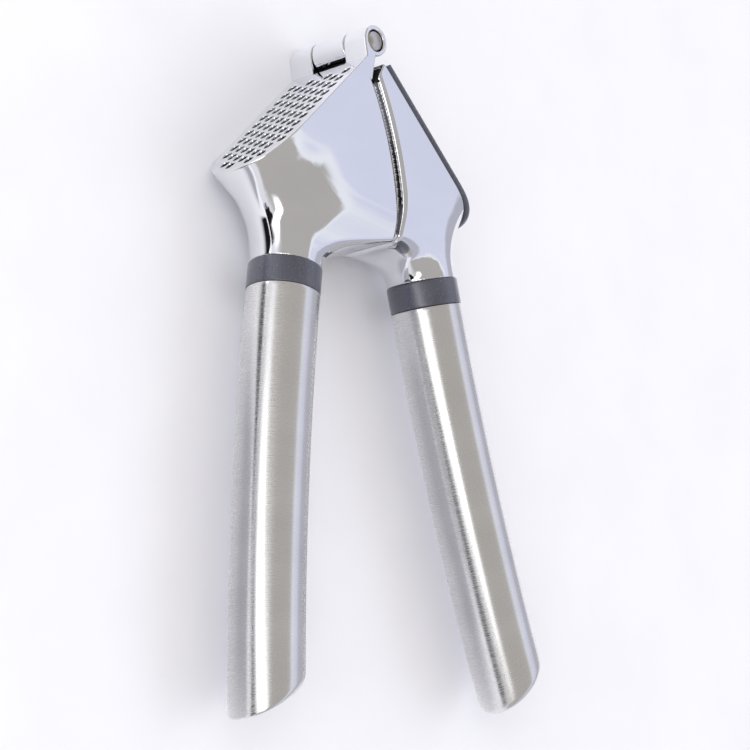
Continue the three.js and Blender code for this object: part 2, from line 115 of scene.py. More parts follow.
BARREL_RADIUS = 4.4
KNUCKLE_HALF_LENGTH = 6.0
KNUCKLE_EDGE = 0.45
HINGE_RELIEF = 2.4                 # clearance that the basket's cheeks leave around the barrel
PIN_RADIUS = 2.8
PIN_RECESS = 0.3
PIN_DOME = 0.28
PIN_EDGE = 0.5

PARTING_START = (8.0, 6.9)
PARTING_END = (30.6, 43.7)
PARTING_RISE = 2.6

CHAMBER_NEAR_RADIUS = 10.3
CHAMBER_FAR_RADIUS = 53.9
CHAMBER_END = 58.2
CHAMBER_NOSE_DEPTH = 12
CHAMBER_ARC = (0.5658, 1.12)       # radians around the hinge that its far wall spans
THIN_WALL = 1.7
THROAT_RADIUS = 11.5               # how far from the hinge axis the faces are painted dark as shade

CLEANER_FACE = -0.6
CLEANER_THICKNESS = 2.05
CLEANER_START = 7.8
CLEANER_END = 61
CLEANER_PIN_LENGTH = 3.6
CLEANER_PIN_BASE = 1.1
CLEANER_PIN_TIP = 0.6
PRESS_BACK = CLEANER_FACE + CLEANER_THICKNESS + GAP

TUBE_RADIUS = 10
TUBE_WALL = 0.8
HANDLE_BEND = 900
HANDLE_LENGTH = 116.1
TAIL_TILT = math.radians(31)
COLLAR_LENGTH = 7.3
NECK_RADIUS = 9.8
NECK_START = -25                   # along the handle, where a casting starts to narrow
NECK_ROUNDING_START = -15
NECK_END = -1
TANG_RADIUS = 6

BASKET_HANDLE = ((61.8, 31.2), math.radians(37.2))
PRESS_HANDLE = ((19.4, 65.6), math.radians(58.4))


def handle_point(handle, distance, side=0.0):
    """A point beside the bent axis of a handle, and the axis's direction there."""
    (x, y), heading = handle
    turn = heading + distance / HANDLE_BEND
    x += HANDLE_BEND * (math.sin(turn) - math.sin(heading)) - side * math.sin(turn)
    y += HANDLE_BEND * (math.cos(heading) - math.cos(turn)) + side * math.cos(turn)
    return x, y, turn


# ---- Signed distances -------------------------------------------------------------------------

class Grid:
    """A regular grid in the hinge frame. Distances on it are negative inside the solid."""

    def __init__(self, low, high, step):
        self.low, self.step = np.array(low, float), step
        axes = [np.arange(a, b + step / 2, step) for a, b in zip(low, high)]
        self.x = axes[0].reshape(-1, 1, 1)
        self.y = axes[1].reshape(1, -1, 1)
        self.z = axes[2].reshape(1, 1, -1)
        self.across = np.abs(self.z)

    def radius(self, centre=(0, 0)):
        return np.hypot(self.x - centre[0], self.y - centre[1])


def meet(a, b, radius):
    """What is inside both, with the outer edge between them rounded."""
    reach = np.hypot(np.maximum(radius + a, 0), np.maximum(radius + b, 0))
    return np.minimum(-radius, np.maximum(a, b)) + reach


def join(a, b, radius):
    """What is inside either, with the inner corner between them filled."""
    reach = np.hypot(np.maximum(radius - a, 0), np.maximum(radius - b, 0))
    return np.maximum(radius, np.minimum(a, b)) - reach


def cut(a, b, radius):
    """What is inside the first and outside the second."""
    return meet(a, -b, radius)


def blend(start, end, value):
    """0 before start and 1 after end, with a smooth rise between them."""
    t = np.clip((value - start) / (end - start), 0, 1)
    return t * t * t * (t * (6 * t - 15) + 10)


def mix(a, b, share):
    return a + (b - a) * share


CURVE_POINTS = 60
STRAIGHT_END = 60                  # how far an edge is carried on past its curve


def bezier(p0, p1, p2, p3):
    t = np.linspace(0, 1, CURVE_POINTS)[:, None]
    p0, p1, p2, p3 = (np.array(p, float) for p in (p0, p1, p2, p3))
    s = 1 - t
    return s ** 3 * p0 + 3 * s * s * t * p1 + 3 * s * t * t * p2 + t ** 3 * p3


def with_straight_ends(points):
    """The curve, carried on along its end directions."""
    first, last = points[0] - points[1], points[-1] - points[-2]
    before = points[0] + first / np.linalg.norm(first) * STRAIGHT_END
    after = points[-1] + last / np.linalg.norm(last) * STRAIGHT_END
    return np.vstack([before, points, after])


def curve_distance(px, py, points):
    """The distance to an open curve, positive on its left."""
    px, py = np.broadcast_arrays(px, py)
    nearest, side = np.full(px.shape, 1e9), np.zeros(px.shape)
    for (ax, ay), (bx, by) in zip(points[:-1], points[1:]):
        ex, ey = bx - ax, by - ay
        t = np.clip(((px - ax) * ex + (py - ay) * ey) / (ex * ex + ey * ey), 0, 1)
        dx, dy = px - ax - t * ex, py - ay - t * ey
        square = dx * dx + dy * dy
        closer = square < nearest
        side = np.where(closer, ex * dy - ey * dx, side)
        nearest = np.where(closer, square, nearest)
    return np.sqrt(nearest) * np.sign(side)


def polygon(px, py, corners):
    """The signed distance to a closed outline."""
    corners = np.array(corners, float)
    px, py = np.broadcast_arrays(px, py)
    nearest, inside = np.full(px.shape, 1e9), np.zeros(px.shape, bool)
    for (ax, ay), (bx, by) in zip(corners, np.roll(corners, -1, axis=0)):
        ex, ey = bx - ax, by - ay
        t = np.clip(((px - ax) * ex + (py - ay) * ey) / (ex * ex + ey * ey), 0, 1)
        nearest = np.minimum(nearest, (px - ax - t * ex) ** 2 + (py - ay - t * ey) ** 2)
        if ey:
            crosses = ((ay > py) != (by > py)) & (px < ax + ex * (py - ay) / ey)
            inside ^= crosses
    return np.sqrt(nearest) * np.where(inside, -1, 1)


def nose(depth, across, half_width, end, nose_depth=NOSE_DEPTH):
    """A long plate in plan with a rounded nose."""
    taper = half_width * np.maximum(1 - (end - depth) / nose_depth, 0)
    return (taper ** NOSE_POWER + across ** NOSE_POWER) ** (1 / NOSE_POWER) - half_width


def hole_centres():
    for column, (first, last) in HOLE_ROWS.items():
        for side in ((1,) if column == 0 else (-1, 1)):
            across = side * column * HOLE_PITCH * 0.75 ** 0.5
            for row in range(int(last - first) + 1):
                yield HOLE_MIDDLE + (first + row) * HOLE_PITCH, across


def hole_distance(along, across):
    """The distance to the nearest hole's centre, in the plane of the holes."""
    nearest = np.full(np.broadcast_shapes(along.shape, across.shape), 1e9)
    for u, w in hole_centres():
        nearest = np.minimum(nearest, (along - u) ** 2 + (across - w) ** 2)
    return np.sqrt(nearest)


# ---- Meshes -------------------------------------------------------------------------------------

def cubic_weights(t):
    """Catmull-Rom weights of four neighbours, and their slopes."""
    w = np.stack([t * (-0.5 + t * (1 - 0.5 * t)), 1 + t * t * (-2.5 + 1.5 * t),
                  t * (0.5 + t * (2 - 1.5 * t)), t * t * (-0.5 + 0.5 * t)])
    slope = np.stack([-0.5 + t * (2 - 1.5 * t), t * (-5 + 4.5 * t),
                      0.5 + t * (4 - 4.5 * t), t * (-1 + 1.5 * t)])
    return w, slope


def value_and_slope(field, grid, points):
    """The field and its gradient at any points, smooth from cell to cell."""
    place = (points - grid.low) / grid.step
    base = np.clip(np.floor(place).astype(int), 1, np.array(field.shape) - 3)
    weights = [cubic_weights(place[:, k] - base[:, k]) for k in range(3)]
    value, slope = np.zeros(len(points)), np.zeros((len(points), 3))
    for i in range(4):
        for j in range(4):
            for k in range(4):
                f = field[base[:, 0] + i - 1, base[:, 1] + j - 1, base[:, 2] + k - 1]
                (wx, sx), (wy, sy), (wz, sz) = ((w[0][n], w[1][n]) for w, n in zip(weights, (i, j, k)))
                value += f * wx * wy * wz
                slope[:, 0] += f * sx * wy * wz
                slope[:, 1] += f * wx * sy * wz
                slope[:, 2] += f * wx * wy * sz
    return value, slope / grid.step


def surface_of(field, grid):
    """Points, quads and normals of the surface where the field is zero."""
    volume = openvdb.FloatGrid()
    volume.copyFromArray(np.ascontiguousarray(field, dtype=np.float32))
    points, quads = volume.convertToQuads()
    points = points.astype(float) * grid.step + grid.low
    limit = 0.35 * grid.step
    for _ in range(3):
        value, slope = value_and_slope(field, grid, points)
        steep = np.maximum((slope ** 2).sum(1), 0.25)
        move = np.clip(value / steep, -limit, limit)
        points -= slope * move[:, None]
    _, slope = value_and_slope(field, grid, points)
    normals = slope / np.maximum(np.linalg.norm(slope, axis=1), 1e-9)[:, None]
    return points, quads, normals


def add_object(name, mesh, body, materials, stands_for):
    """A finished mesh, drawn in the hinge frame, as a piece of the press."""
    mesh.transform(TO_ROW)
    piece = bpy.data.objects.new(name, mesh)
    bpy.context.scene.collection.objects.link(piece)
    for material in materials:
        mesh.materials.append(material)
    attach(piece, body)
    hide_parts(*stands_for)


def casting(name, field, grid, body, materials, stands_for, choose_material=None):
    """A piece with the field's surface. choose_material numbers the material at each face's middle."""
    points, quads, normals = surface_of(field, grid)
    mesh = bpy.data.meshes.new(name)
    mesh.from_pydata(points.tolist(), [], quads[:, ::-1].tolist())
    a, b, c = (points[quads[:, k]] for k in (0, 1, 2))
    facing = (np.cross(c - a, b - a) * normals[quads[:, 0]]).sum(1)
    if np.median(facing) < 0:
        mesh.flip_normals()
    mesh.polygons.foreach_set("use_smooth", np.ones(len(quads), bool))
    mesh.normals_split_custom_set_from_vertices(normals.tolist())
    if choose_material is not None:
        chosen = choose_material(points[quads].mean(1))
        mesh.polygons.foreach_set("material_index", chosen.astype(np.int32))
    add_object(name, mesh, body, materials, stands_for)


# ---- The line where the two arms meet -----------------------------------------------------------

def parting_circle():
    start, end = np.array(PARTING_START), np.array(PARTING_END)
    chord = end - start
    half = np.linalg.norm(chord) / 2
    radius = (half * half + PARTING_RISE ** 2) / (2 * PARTING_RISE)
    towards_basket = np.array([chord[1], -chord[0]]) / (2 * half)
    return (start + end) / 2 + towards_basket * (radius - PARTING_RISE), radius


PARTING_CENTRE, PARTING_RADIUS = parting_circle()


def parting(grid):
    """The distance from the meeting line, positive on the press arm's side."""
    return grid.radius(PARTING_CENTRE) - PARTING_RADIUS


# ---- Castings -----------------------------------------------------------------------------------

def arm_body(grid, handle, outer, inner, outer_side, rim, swell):
    """A casting with flat cheeks and a rounded nose, narrowing to a round neck at its collar.

    outer and inner are its edges in side view, and outer_side is 1 if it lies to the left of outer.
    rim is the rounding of the inner edge, away from the neck. swell says where the nose is softer.
    """
    (sx, sy), heading = handle
    x, y = grid.x[:, :, 0], grid.y[:, :, 0]
    along = (x - sx) * math.cos(heading) + (y - sy) * math.sin(heading)
    narrow = blend(NECK_START, NECK_END, along)
    width = mix(HEAD_HALF_WIDTH, NECK_RADIUS, narrow)
    cap = mix(mix(NOSE_DEPTH, SOFT_NOSE_DEPTH, swell), NECK_RADIUS, narrow)
    power = mix(mix(NOSE_POWER, SOFT_NOSE_POWER, swell), 2.0, narrow)[:, :, None]
    from_outer = outer_side * curve_distance(x, y, with_straight_ends(outer))
    from_inner = -outer_side * curve_distance(x, y, with_straight_ends(inner))
    taper = (width * np.maximum(1 - from_outer / cap, 0))[:, :, None]
    width = width[:, :, None]
    outside = (taper ** power + grid.across ** power) ** (1 / power) - width
    rounding = mix(rim, NECK_RADIUS, blend(NECK_ROUNDING_START, NECK_END, along))[:, :, None]
    inside = meet(grid.across - width, -from_inner[:, :, None], rounding)
    return meet(np.maximum(outside, inside), along[:, :, None], 0.25)


def with_lips(body, meeting, edge):
    """The casting ends short of the meeting line, apart from lips set back from its cheeks."""
    cheeks = meet(body, meeting + LIP_HEIGHT, edge)
    lips = meet(body + HEAD_HALF_WIDTH - LIP_HALF_WIDTH, meeting + GAP / 2, 0.3)
    return np.minimum(cheeks, lips)


def knuckle(grid, start, end):
    """A round barrel on the hinge axis between two places across the press."""
    ends = np.abs(grid.z - (start + end) / 2) - (end - start) / 2
    return meet(grid.radius() - BARREL_RADIUS, ends, KNUCKLE_EDGE)


def neck_side(handle, side):
    return handle_point(handle, 0, side * NECK_RADIUS)[:2]


BASKET_OUTER = bezier((PLATE_END, PLATE_FACE), (59.4, 11), (60.6, 18.2), neck_side(BASKET_HANDLE, -1))
BASKET_INNER = bezier((31.5, 46), (42, 38.8), (49.5, 34.8), neck_side(BASKET_HANDLE, 1))
PRESS_OUTER = bezier((PRESS_BACK, 60.7), (5, 61.8), (8.4, 65.2), neck_side(PRESS_HANDLE, 1))
PRESS_INNER = bezier((31.3, 46.2), (26.6, 49.8), (25, 56), neck_side(PRESS_HANDLE, -1))


def chamber(grid, body):
    """The hollow for the garlic. It leaves a wall inside the body wherever that narrows."""
    far = [(CHAMBER_FAR_RADIUS * math.cos(a), CHAMBER_FAR_RADIUS * math.sin(a))
           for a in np.linspace(*CHAMBER_ARC, 12)]
    side = [(4, PLATE_INSIDE), (CHAMBER_END, PLATE_INSIDE), (57.6, 12), (55.3, 17), (51.5, 22.3),
            *far, (10, 60), (-20, 20)]
    plan = nose(grid.x, grid.across, HEAD_HALF_WIDTH - WALL, CHAMBER_END, CHAMBER_NOSE_DEPTH)
    hollow = meet(polygon(grid.x, grid.y, side), plan, 1.2)
    hollow = meet(hollow, body + THIN_WALL, 1.5)
    return meet(hollow, CHAMBER_NEAR_RADIUS - grid.radius(), 0.3)


def basket_knuckles(grid):
    gap = KNUCKLE_HALF_LENGTH + GAP
    bridge = polygon(grid.x, grid.y, [(0, -2), (3.55, -2.59), (6.3, PLATE_FACE), (10.2, PLATE_FACE),
                                      (10.2, 5), (9.4, 7.2), (8.6, 6.6), (3.2, 3.05), (0, 2)])
    bridge = meet(bridge, grid.across - HEAD_HALF_WIDTH, 0.4)
    both = np.minimum(knuckle(grid, -HEAD_HALF_WIDTH, -gap), knuckle(grid, gap, HEAD_HALF_WIDTH))
    between = np.maximum(grid.across - gap, grid.x - 6.9)
    return np.minimum(both, cut(bridge, between, 0.3))


def basket_field(grid):
    meeting = parting(grid)
    swell = mix(PLATE_NOSE_SWELL, 1, blend(PLATE_FACE, PLATE_FACE + 13, grid.y[:, :, 0]))
    body = arm_body(grid, BASKET_HANDLE, BASKET_OUTER, BASKET_INNER, 1, 1.2, swell)
    shell = with_lips(meet(body, PLATE_FACE - grid.y, 0.3), meeting, 0.45)
    shell = cut(cut(shell, grid.radius() - BARREL_RADIUS - HINGE_RELIEF, 0.3), chamber(grid, body), 0.3)
    holes = hole_distance(grid.x, grid.z) - HOLE_RADIUS
    holes = np.maximum(holes, np.abs(grid.y - PLATE_FACE - PLATE_THICKNESS / 2) - PLATE_THICKNESS)
    return cut(np.minimum(shell, basket_knuckles(grid)), holes, 0.12)


def press_arm_field(grid):
    meeting = parting(grid)
    body = arm_body(grid, PRESS_HANDLE, PRESS_OUTER, PRESS_INNER, -1, 1.6, 0)
    top = polygon(grid.x, grid.y, [(PRESS_BACK - 9, 6.2), (PRESS_BACK, 6.2), (5.2, 7.4), (9, 9),
                                   (60, 9), (60, 90), (-7, 90)])
    shell = meet(with_lips(meet(body, PRESS_BACK - grid.x, 0.3), -meeting, 1.5), top, 0.5)
    hollow = polygon(grid.x, grid.y, [(-10, 14), (30, 14), (30, 46), (20, 50), (-10, 50)])
    hollow = meet(meet(hollow, grid.across - HOLLOW_HALF_WIDTH, 1.5), body + THIN_WALL, 1.5)
    hollow = meet(hollow, GAP / 2 + FRONT_WALL - meeting, 1)
    web = polygon(grid.x, grid.y, [(-3, 3.2), (PRESS_BACK, 8), (PRESS_BACK, 15), (11.5, 15),
                                   (6.6, 5.4), (3.2, 3), (0, 2)])
    web = np.maximum(meet(web, grid.across - KNUCKLE_HALF_LENGTH, 0.3), GAP / 2 - meeting)
    hinge = join(knuckle(grid, -KNUCKLE_HALF_LENGTH, KNUCKLE_HALF_LENGTH), web, 0.3)
    shell = cut(shell, hollow, 0.4)
    return join(shell, hinge, 0.3)


def pin_hole(grid):
    return grid.radius() - PIN_RADIUS - GAP


def painted_shade_index(centres):
    """2 on the faces close to the hinge and 1 on the lips and faces between the arms, which get painted
    shade; 0 elsewhere.
    """
    x, y, across = centres[:, 0], centres[:, 1], np.abs(centres[:, 2])
    radius = np.hypot(x, y)
    meeting = np.hypot(x - PARTING_CENTRE[0], y - PARTING_CENTRE[1]) - PARTING_RADIUS
    from_meeting = np.abs(meeting)
    beside = (radius > BARREL_RADIUS + 0.6) & (y > 2) & (y < PARTING_END[1] + 1)
    deep = (from_meeting < LIP_HEIGHT + 0.15) & (across < LIP_HALF_WIDTH + 0.06)
    groove = deep & (from_meeting > 0.42)
    throat = (radius < THROAT_RADIUS) & (across < HEAD_HALF_WIDTH - 0.6) & (meeting < 4) & (y > 3.3)
    return np.where(beside & throat, 2, np.where(beside & groove, 1, 0))


# ---- Swept pieces -------------------------------------------------------------------------------

HANDLE_SIDES = 96
TANG_SIDES = 48


def skin(name, rings, round_trip=False):
    """A closed skin over rings of points. It ends in flat caps, or meets itself after a round trip."""
    rings = np.array(rings)
    count, sides = rings.shape[:2]
    mesh = bpy.data.meshes.new(name)
    spans = [(i, (i + 1) % count) for i in range(count if round_trip else count - 1)]
    faces = [(a * sides + i, a * sides + (i + 1) % sides, b * sides + (i + 1) % sides, b * sides + i)
             for a, b in spans for i in range(sides)]
    if not round_trip:
        faces += [tuple(range(sides))[::-1], tuple((count - 1) * sides + i for i in range(sides))]
    mesh.from_pydata(rings.reshape(-1, 3).tolist(), [], faces)
    mesh.polygons.foreach_set("use_smooth", np.ones(len(faces), bool))
    outwards(mesh)
    return mesh


def outwards(mesh):
    """Turns every face of a closed mesh to the outside."""
    shape = bmesh.new()
    shape.from_mesh(mesh)
    bmesh.ops.recalc_face_normals(shape, faces=shape.faces)
    shape.to_mesh(mesh)
    shape.free()


def sharp_over(mesh, degrees):
    mesh.set_sharp_from_angle(angle=math.radians(degrees))


def add_grain_map(mesh, rings):
    """UVs in metres: along the sweep in U, around it in V."""
    rings = np.array(rings)
    count, sides = rings.shape[:2]
    steps = np.linalg.norm(np.diff(rings.mean(1), axis=0), axis=1)
    along = np.concatenate([[0], np.cumsum(steps)]) / 1000
    around = np.linspace(0, 2 * math.pi * TUBE_RADIUS / 1000, sides, endpoint=False)
    layer = mesh.uv_layers.new(name="grain")
    corner = np.zeros(len(mesh.loops), np.int32)
    mesh.loops.foreach_get("vertex_index", corner)
    uv = np.stack([along[corner // sides], around[corner % sides]], 1)
    layer.data.foreach_set("uv", uv.ravel())


def handle_ring(handle, radius, distance, sides=HANDLE_SIDES):
    """A round section, square to the handle."""
    ring = []
    for i in range(sides):
        a = 2 * math.pi * i / sides
        x, y, _ = handle_point(handle, distance, radius * math.cos(a))
        ring.append((x, y, radius * math.sin(a)))
    return ring


def tail_ring(handle, radii, insets):
    """A section parallel to the slanted tail, set back from it by its insets."""
    cx, cy, turn = handle_point(handle, HANDLE_LENGTH)
    nx, ny = math.cos(turn + TAIL_TILT), math.sin(turn + TAIL_TILT)
    radii, insets = np.broadcast_to(radii, HANDLE_SIDES), np.broadcast_to(insets, HANDLE_SIDES)
    ring = []
    for i in range(HANDLE_SIDES):
        a = 2 * math.pi * i / HANDLE_SIDES
        side, distance = radii[i] * math.cos(a), HANDLE_LENGTH
        for _ in range(3):
            x, y, _ = handle_point(handle, distance, side)
            distance -= ((x - cx) * nx + (y - cy) * ny + insets[i]) / math.cos(TAIL_TILT)
        x, y, _ = handle_point(handle, distance, side)
        ring.append((x, y, radii[i] * math.sin(a)))
    return ring


def between(first, last, shares):
    """Rings part of the way from one to another."""
    first, last = np.array(first), np.array(last)
    return [mix(first, last, share).tolist() for share in shares]


TAIL_ROUNDING = 2.4
TIP_ROUNDING = {"basket": 0.8, "press": 2.4}
CAP_RADIUS = TUBE_RADIUS - TAIL_ROUNDING - 0.2
TAIL_STRAIGHT = 9                  # before the tail, where the sections start to turn with its slant
CAP_THICKNESS = 1.6
COLLAR_ROUNDING = 0.35
COLLAR_START = 0.05
COLLAR_BORE = 6.4
SPIGOT_RADIUS = 8.8                # the collar's sleeve inside the tube
SPIGOT_END = 13
TANG_HALF_DEPTH = 5.2
TANG_HALF_WIDTH = 4.4


def tail_edge(prefix, handle):
    """The rounded end of the tube: less round at the tip, where the slant is longest."""
    angles = np.linspace(0, 2 * math.pi, HANDLE_SIDES, endpoint=False)
    towards_tip = blend(-0.3, 1, -np.cos(angles))
    rounding = mix(TAIL_ROUNDING, TIP_ROUNDING[prefix], towards_tip)
    rings = []
    for a in np.linspace(0, math.pi / 2, 10):
        radii = TUBE_RADIUS - rounding * (1 - math.cos(a))
        rings.append(tail_ring(handle, radii, rounding * (1 - math.sin(a))))
    return rings


def handle_tube(prefix, handle, materials):
    start, end = COLLAR_LENGTH + 0.12, HANDLE_LENGTH - TAIL_STRAIGHT - TAIL_ROUNDING
    inner = TUBE_RADIUS - TUBE_WALL
    lip = ((inner, 0), (9.75, 0), (9.93, 0.07), (TUBE_RADIUS, 0.25))
    rings = [handle_ring(handle, radius, start + s) for radius, s in lip]
    rings += [handle_ring(handle, TUBE_RADIUS, s) for s in np.linspace(start + 1, end, 30)]
    edge = tail_edge(prefix, handle)
    rings += between(rings[-1], edge[0], (0.25, 0.5, 0.75)) + edge
    mouth = ((CAP_RADIUS + 0.1, 0), (CAP_RADIUS + 0.05, 0.05), (CAP_RADIUS + 0.05, TUBE_WALL))
    rings += [tail_ring(handle, radius, inset) for radius, inset in mouth]
    inside = tail_ring(handle, inner, TAIL_ROUNDING + TUBE_WALL)
    rings += [inside, handle_ring(handle, inner, end - 2)]
    rings += [handle_ring(handle, inner, s) for s in np.linspace(end - 10, start + 5, 12)]
    mesh = skin(f"{prefix}_handle", rings, round_trip=True)
    add_grain_map(mesh, rings)
    sharp_over(mesh, 40)
    add_object(f"{prefix}_handle", mesh, f"{prefix}_side", materials,
               [f"{prefix}_tube"])


def tail_cap(prefix, handle, materials):
    profile = [(0.4, CAP_THICKNESS), (CAP_RADIUS, CAP_THICKNESS)]
    profile += [(CAP_RADIUS, 0.06), (CAP_RADIUS - 0.05, 0.01), (CAP_RADIUS - 0.12, 0)]
    profile += [(CAP_RADIUS * share, 0) for share in (0.9, 0.7, 0.5, 0.3, 0.05)]
    rings = [tail_ring(handle, radius, inset) for radius, inset in profile]
    mesh = skin(f"{prefix}_cap", rings)
    add_grain_map(mesh, rings)
    sharp_over(mesh, 40)
    add_object(f"{prefix}_cap", mesh, f"{prefix}_side", materials,
               [f"{prefix}_tail_cap"])


def collar(prefix, handle, materials):
    edge = [(COLLAR_ROUNDING * (1 - math.cos(a)), COLLAR_ROUNDING * (1 - math.sin(a)))
            for a in np.linspace(0, math.pi / 2, 6)]
    profile = [(COLLAR_BORE, COLLAR_START), (TUBE_RADIUS - 1, COLLAR_START)]
    profile += [(TUBE_RADIUS - drop, COLLAR_START + rise) for drop, rise in reversed(edge)]
    profile += [(TUBE_RADIUS, s) for s in (2, 4, 6)]
    profile += [(TUBE_RADIUS - drop, COLLAR_LENGTH - rise) for drop, rise in edge]
    profile += [(9.1, COLLAR_LENGTH), (SPIGOT_RADIUS, COLLAR_LENGTH + 0.2)]
    profile += [(SPIGOT_RADIUS, SPIGOT_END - 0.2), (8.6, SPIGOT_END), (COLLAR_BORE, SPIGOT_END)]
    mesh = skin(f"{prefix}_ring", [handle_ring(handle, r, s) for r, s in profile], round_trip=True)
    sharp_over(mesh, 50)
    add_object(f"{prefix}_ring", mesh, f"{prefix}_side", materials,
               [f"{prefix}_collar"])


def tang(prefix, handle, materials):
    """The square tongue, with a round root, that each casting sends into its handle."""
    rings = [handle_ring(handle, TANG_RADIUS, s, TANG_SIDES) for s in (-5, 0, 6, 12.6)]
    rings.append(handle_ring(handle, TANG_RADIUS - 0.4, 13, TANG_SIDES))
    for s, size in ((13.2, 0.82), (14, 0.78), (46, 0.78), (47.7, 0.7)):
        ring = []
        for i in range(TANG_SIDES):
            a = 2 * math.pi * i / TANG_SIDES
            c, w = math.cos(a), math.sin(a)
            square = (abs(c) ** 6 + abs(w) ** 6) ** (-1 / 6)
            x, y, _ = handle_point(handle, s, TANG_HALF_DEPTH * size * square * c)
            ring.append((x, y, TANG_HALF_WIDTH * size * square * w))
        rings.append(ring)
    mesh = skin(f"{prefix}_tang", rings)
    sharp_over(mesh, 40)
    add_object(f"{prefix}_tang", mesh, f"{prefix}_side", materials,
               [f"{prefix}_arm"])


def hinge_pin(materials):
    half = HEAD_HALF_WIDTH - PIN_RECESS
    end = [(PIN_RADIUS - PIN_EDGE * (1 - math.cos(a)), half - PIN_EDGE * (1 - math.sin(a)))
           for a in np.linspace(0, math.pi / 2, 7)]
    end += [((PIN_RADIUS - PIN_EDGE) * share, half + PIN_DOME * (1 - share ** 2))
            for share in (0.9, 0.75, 0.5, 0.25, 0.02)]
    profile = [(r, -z) for r, z in reversed(end)] + end
    angles = np.linspace(0, 2 * math.pi, 64, endpoint=False)
    rings = [[(r * math.cos(a), r * math.sin(a), z) for a in angles] for r, z in profile]
    mesh = skin("pin", rings)
    add_object("pin", mesh, "basket_side", materials, ["hinge_pin"])


# ---- Cleaner and plunger ------------------------------------------------------------------------

CLEANER_ROUNDING = 0.95
CLIP_HEIGHT = 4
CLIP_PLACE = 10.4                  # middle of the press to the middle of a clip
CLIP_HALF_THICKNESS = 0.6


def cleaner_field(grid):
    inside = CLEANER_FACE + CLEANER_THICKNESS
    middle, half = CLEANER_FACE + CLEANER_THICKNESS / 2, CLEANER_THICKNESS / 2
    outline = np.maximum(nose(grid.y, grid.across, HEAD_HALF_WIDTH, CLEANER_END), CLEANER_START - grid.y)
    plate = meet(outline, np.abs(grid.x - middle) - half, CLEANER_ROUNDING)
    tip = CLEANER_FACE - CLEANER_PIN_LENGTH
    share = np.clip((grid.x - tip) / CLEANER_PIN_LENGTH, 0, 1)
    sides = hole_distance(grid.y, grid.z) - mix(CLEANER_PIN_TIP, CLEANER_PIN_BASE, share)
    pins = meet(sides, np.maximum(tip - grid.x, grid.x - middle), 0.3)
    root, top = inside - 0.5, inside + CLIP_HEIGHT
    clip = polygon(grid.x, grid.y, [(root, 22), (top, 24), (top, 38), (root, 40)])
    clips = np.maximum(clip, np.abs(grid.across - CLIP_PLACE) - CLIP_HALF_THICKNESS)
    return join(join(plate, pins, 0.3), clips, 0.3)


PLUNGER_FACE = PLATE_INSIDE + 0.8
PLUNGER_FOOT = 4.5
PLUNGER_HALF_WIDTH = 11.8
PLUNGER_NEAR_RADIUS = 10.8
PLUNGER_FAR_RADIUS = 53.3
PLUNGER_NOSE_DEPTH = 11.3
PLUNGER_WEB_HALF = 4.6


def plunger_field(grid):
    top = PLUNGER_FACE + PLUNGER_FOOT
    foot = np.abs(grid.y - PLUNGER_FACE - PLUNGER_FOOT / 2) - PLUNGER_FOOT / 2
    plan = nose(grid.x, grid.across, PLUNGER_HALF_WIDTH, PLUNGER_FAR_RADIUS, PLUNGER_NOSE_DEPTH)
    foot = meet(plan, foot, 0.5)
    web = polygon(grid.x, grid.y, [(13, top - 1), (47, top - 1), (42, 20), (31, 38), (26, 44), (4, 14)])
    web = meet(web, grid.across - PLUNGER_WEB_HALF, 0.6)
    block = meet(join(foot, web, 1.2), parting(grid) + GAP, 0.4)
    radius = grid.radius()
    return meet(block, np.maximum(radius - PLUNGER_FAR_RADIUS, PLUNGER_NEAR_RADIUS - radius), 0.4)


# ---- Materials ----------------------------------------------------------------------------------

class Nodes:
    """Short calls for building one node tree."""

    def __init__(self, tree):
        self.tree = tree

    def add(self, kind, inputs=None, **settings):
        node = self.tree.nodes.new(kind)
        for key, value in settings.items():
            setattr(node, key, value)
        for key, value in (inputs or {}).items():
            self.put(node.inputs[key], value)
        return node.outputs

    def put(self, socket, value):
        if isinstance(value, bpy.types.NodeSocket):
            self.tree.links.new(value, socket)
        else:
            socket.default_value = value

    def noise(self, place, scale, detail=3.0, stretch=(1, 1, 1)):
        stretched = self.add("ShaderNodeMapping", {"Vector": place, "Scale": stretch})[0]
        inputs = {"Vector": stretched, "Scale": scale, "Detail": detail}
        return self.add("ShaderNodeTexNoise", inputs)["Fac"]

    def ranged(self, value, low, high, from_low=0.3, from_high=0.7):
        inputs = {"Value": value, "From Min": from_low, "From Max": from_high,
                  "To Min": low, "To Max": high}
        return self.add("ShaderNodeMapRange", inputs)[0]

    def ramp(self, value, *stops):
        """Colours at their places along a value that runs from 0 to 1."""
        node = self.tree.nodes.new("ShaderNodeValToRGB")
        self.put(node.inputs[0], value)
        elements = node.color_ramp.elements
        while len(elements) < len(stops):
            elements.new(1.0)
        for element, (place, colour) in zip(elements, stops):
            element.position, element.color = place, (*colour, 1)
        return node.outputs[0]

    def mix(self, share, first, second):
        return self.add("ShaderNodeMixRGB", {"Fac": share, "Color1": first, "Color2": second})[0]

    def math(self, operation, first, second=0.0):
        return self.add("ShaderNodeMath", {0: first, 1: second}, operation=operation)[0]

    def bump(self, height, distance, strength=1.0):
        inputs = {"Height": height, "Distance": distance, "Strength": strength}
        return self.add("ShaderNodeBump", inputs)[0]

    def place(self):
        return self.add("ShaderNodeTexCoord")["Object"]


class MaterialNodes(Nodes):
    """A new material's node tree, which ends in its shader."""

    def __init__(self, name):
        self.material = bpy.data.materials.new(name)
        self.material.use_nodes = True
        super().__init__(self.material.node_tree)
        self.shader = self.tree.nodes["Principled BSDF"]

    def shade(self, **inputs):
        for key, value in inputs.items():
            self.put(self.shader.inputs[key.replace("_", " ")], value)
        return self.material


